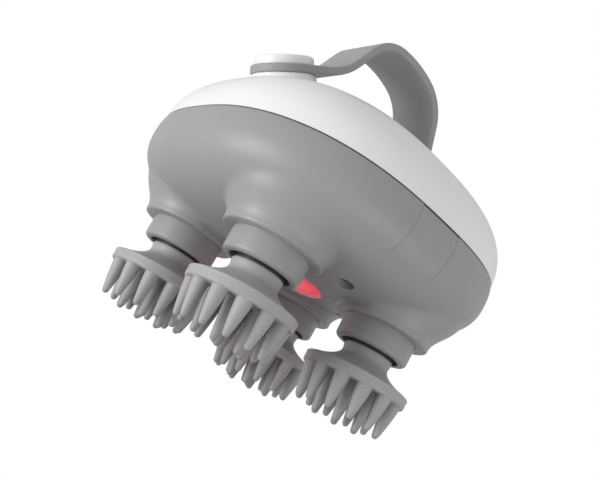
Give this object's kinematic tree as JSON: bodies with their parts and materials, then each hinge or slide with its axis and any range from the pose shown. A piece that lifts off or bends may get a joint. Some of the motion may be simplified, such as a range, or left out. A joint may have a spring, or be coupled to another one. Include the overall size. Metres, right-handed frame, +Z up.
{
  "type": "electric scalp massager",
  "caption": "Domed hand-held massager with a finger strap and shoulder button over four geared turning heads with soft standing fingers and a red light beneath",
  "frame": {"origin": "centre of the standing plane: in the middle of the body in plan, at the height of the fingertips", "axes": "+X points from the power button along the strap, -Y is the side with the charging cover, +Z is up from the fingertips to the strap"},
  "size_m": [0.1116, 0.1116, 0.1178],
  "materials": {
    "white_plastic": "satin",
    "grey_plastic": "satin",
    "grey_silicone": "matte",
    "dark_rubber": "matte",
    "dark_plastic": "matte",
    "red_lens": "gloss",
    "steel": "brushed",
    "bronze": "satin",
    "gear_plastic": "matte",
    "board_green": "satin",
    "cell_wrap": "gloss"
  },
  "bodies": {
    "housing": {"top_shell": "white_plastic", "button_sleeve": "white_plastic", "bottom_shell": "grey_plastic", "gear_plate": "grey_plastic", "motor_plate": "grey_plastic", "collar_1": "grey_plastic", "collar_2": "grey_plastic", "collar_3": "grey_plastic", "collar_4": "grey_plastic", "strap": "grey_silicone", "seam_gasket": "dark_rubber", "seal_1": "dark_rubber", "seal_2": "dark_rubber", "seal_3": "dark_rubber", "seal_4": "dark_rubber", "strap_clip": "dark_plastic", "tact_switch": "dark_plastic", "battery_tray": "dark_plastic", "port_bezel": "dark_plastic", "light_lens": "red_lens", "sun_arbor": "steel", "idler_arbor": "steel", "motor": "steel", "charging_socket": "steel", "cover_pin": "steel", "case_screw_1": "steel", "case_screw_2": "steel", "case_screw_3": "steel", "case_screw_4": "steel", "bush_1": "bronze", "bush_2": "bronze", "bush_3": "bronze", "bush_4": "bronze", "button_board": "board_green", "light_board": "board_green", "control_board": "board_green", "charge_board": "board_green", "battery": "cell_wrap"},
    "head_1": {"finger_pad_1": "grey_silicone", "head_core_1": "dark_plastic", "spindle_1": "steel", "head_gear_1": "gear_plastic"},
    "head_2": {"finger_pad_2": "grey_silicone", "head_core_2": "dark_plastic", "spindle_2": "steel", "head_gear_2": "gear_plastic"},
    "head_3": {"finger_pad_3": "grey_silicone", "head_core_3": "dark_plastic", "spindle_3": "steel", "head_gear_3": "gear_plastic"},
    "head_4": {"finger_pad_4": "grey_silicone", "head_core_4": "dark_plastic", "spindle_4": "steel", "head_gear_4": "gear_plastic"},
    "middle_gear": {"sun_gear": "gear_plastic"},
    "idler": {"idler_gear": "gear_plastic"},
    "drive": {"motor_pinion": "steel"},
    "button": {"power_button": "white_plastic", "switch_plunger": "dark_plastic"},
    "cover": {"port_cover": "grey_plastic"}
  },
  "joints": [
    {"name": "middle_spin", "type": "hinge", "parent": "housing", "child": "middle_gear", "pos_m": [0, 0, 0.044], "axis": [0, 0, 1], "continuous": true},
    {"name": "head_1_spin", "type": "hinge", "parent": "housing", "child": "head_1", "pos_m": [-0.02475, 0.02475, 0.03], "axis": [0, 0, 1], "continuous": true},
    {"name": "head_2_spin", "type": "hinge", "parent": "housing", "child": "head_2", "pos_m": [-0.02475, -0.02475, 0.03], "axis": [0, 0, 1], "continuous": true},
    {"name": "head_3_spin", "type": "hinge", "parent": "housing", "child": "head_3", "pos_m": [0.02475, -0.02475, 0.03], "axis": [0, 0, 1], "continuous": true},
    {"name": "head_4_spin", "type": "hinge", "parent": "housing", "child": "head_4", "pos_m": [0.02475, 0.02475, 0.03], "axis": [0, 0, 1], "continuous": true},
    {"name": "idler_spin", "type": "hinge", "parent": "housing", "child": "idler", "pos_m": [0.01273, 0.01273, 0.048], "axis": [0, 0, 1], "continuous": true},
    {"name": "drive_spin", "type": "hinge", "parent": "housing", "child": "drive", "pos_m": [0, 0, 0.052], "axis": [0, 0, 1], "continuous": true},
    {"name": "button_press", "type": "slide", "parent": "housing", "child": "button", "axis": [0.5635, 0, -0.8261], "range_m": [0, 0.0006], "stiffness_N_per_m": 1500, "springref_m": -0.0006},
    {"name": "cover_swing", "type": "hinge", "parent": "housing", "child": "cover", "pos_m": [0, -0.05095, 0.04355], "axis": [1, 0, 0], "range_deg": [0, 70]}
  ],
  "couplings": [
    {"joint": "head_1_spin", "follows": "middle_spin", "ratio": -1.9167},
    {"joint": "head_2_spin", "follows": "middle_spin", "ratio": -1.9167},
    {"joint": "head_3_spin", "follows": "middle_spin", "ratio": -1.9167},
    {"joint": "head_4_spin", "follows": "middle_spin", "ratio": -1.9167},
    {"joint": "idler_spin", "follows": "middle_spin", "ratio": -3},
    {"joint": "drive_spin", "follows": "middle_spin", "ratio": 15}
  ]
}
